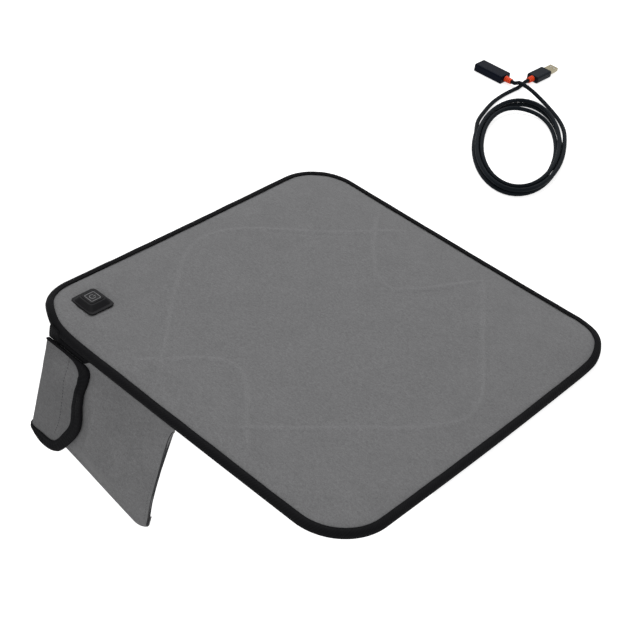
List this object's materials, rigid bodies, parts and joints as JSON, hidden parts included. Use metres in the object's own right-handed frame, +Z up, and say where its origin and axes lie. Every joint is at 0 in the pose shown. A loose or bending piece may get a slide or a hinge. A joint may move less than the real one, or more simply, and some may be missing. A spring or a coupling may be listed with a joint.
{
  "type": "heated seat cushion",
  "caption": "Square felt seat pad with bound edge, heating wire inside, push-button control, hanging side-opening pocket with hook-and-loop flap, and a coiled USB extension lead.",
  "frame": {"origin": "centre of the cushion's flat underside, which rests on the seat", "axes": "+Z up from the seat, -Y towards the edge that the pocket hangs from, +X to the right along that edge; the push button is near the corner at -X -Y"},
  "size_m": [0.4317, 0.8508, 0.1225],
  "materials": {
    "felt": "grey brushed fleece",
    "lining": "plain woven lining",
    "wadding": "needled fibre wadding",
    "tape": "black woven tape",
    "hook_loop": "black hook and loop tape",
    "control_rubber": "matt black moulded rubber",
    "window": "smoke-tinted light window",
    "board": "green laminate",
    "black_resin": "black moulding",
    "clear_resin": "clear lens",
    "white_resin": "white moulding",
    "steel": "plated steel",
    "silicone_wire": "red silicone jacket",
    "cord": "dark cord jacket",
    "navy_plastic": "glossy navy moulding",
    "slate_plastic": "satin slate moulding",
    "orange_rubber": "orange moulded rubber"
  },
  "bodies": {
    "cushion": {"bottom_cover": "lining", "wadding": "wadding", "wire_carrier": "wadding", "heating_wire": "silicone_wire", "top_cover": "felt", "edge_binding": "tape", "thermal_cutout": "white_resin", "wire_splice": "black_resin", "temperature_sensor": "black_resin", "element_lead_1": "silicone_wire", "element_lead_2": "silicone_wire", "sensor_lead": "cord", "supply_lead": "cord", "lead_gland": "control_rubber", "control_housing": "control_rubber", "tact_switch": "black_resin", "circuit_board": "board", "status_led": "clear_resin", "control_chip": "black_resin", "clamp_plate": "black_resin", "clamp_screw_1": "steel", "clamp_screw_2": "steel", "clamp_screw_3": "steel", "clamp_screw_4": "steel", "hinge_tape": "tape", "extension_coil": "cord", "extension_tail_plug": "cord", "extension_tail_socket": "cord", "socket_strain_relief": "orange_rubber", "socket_housing": "navy_plastic", "socket_shell": "steel", "socket_tongue": "white_resin", "plug_strain_relief": "orange_rubber", "plug_body": "slate_plastic", "plug_shell": "steel", "plug_tongue": "white_resin"},
    "button": {"push_button": "control_rubber", "light_window": "window"},
    "plunger": {"switch_plunger": "black_resin"},
    "pocket": {"pocket_back": "lining", "pocket_front": "felt", "pocket_seam_tape": "tape", "loop_strip": "hook_loop"},
    "gusset": {"flap_gusset": "felt", "gusset_binding": "tape"},
    "flap": {"flap_panel": "felt", "flap_binding": "tape", "hook_strip": "hook_loop"}
  },
  "joints": [
    {"name": "button_press", "type": "slide", "parent": "cushion", "child": "button", "axis": [0, 0, -1], "range_m": [0, 0.0008], "stiffness_N_per_m": 1000, "springref_m": -0.001},
    {"name": "plunger_press", "type": "slide", "parent": "cushion", "child": "plunger", "axis": [0, 0, -1], "range_m": [0, 0.0008]},
    {"name": "pocket_swing", "type": "hinge", "parent": "cushion", "child": "pocket", "pos_m": [0, -0.1996, -0.0027], "axis": [-1, 0, 0], "range_deg": [-104, 76]},
    {"name": "gusset_open", "type": "hinge", "parent": "pocket", "child": "gusset", "pos_m": [-0.1434, -0.19941, -0.00275], "axis": [0, -0.2419, -0.9703], "range_deg": [0, 90]},
    {"name": "flap_open", "type": "hinge", "parent": "gusset", "child": "flap", "pos_m": [-0.1394, -0.21105, 0.00015], "axis": [0, -0.2419, -0.9703], "range_deg": [0, 90]}
  ],
  "couplings": [
    {"joint": "plunger_press", "follows": "button_press", "ratio": 1}
  ]
}
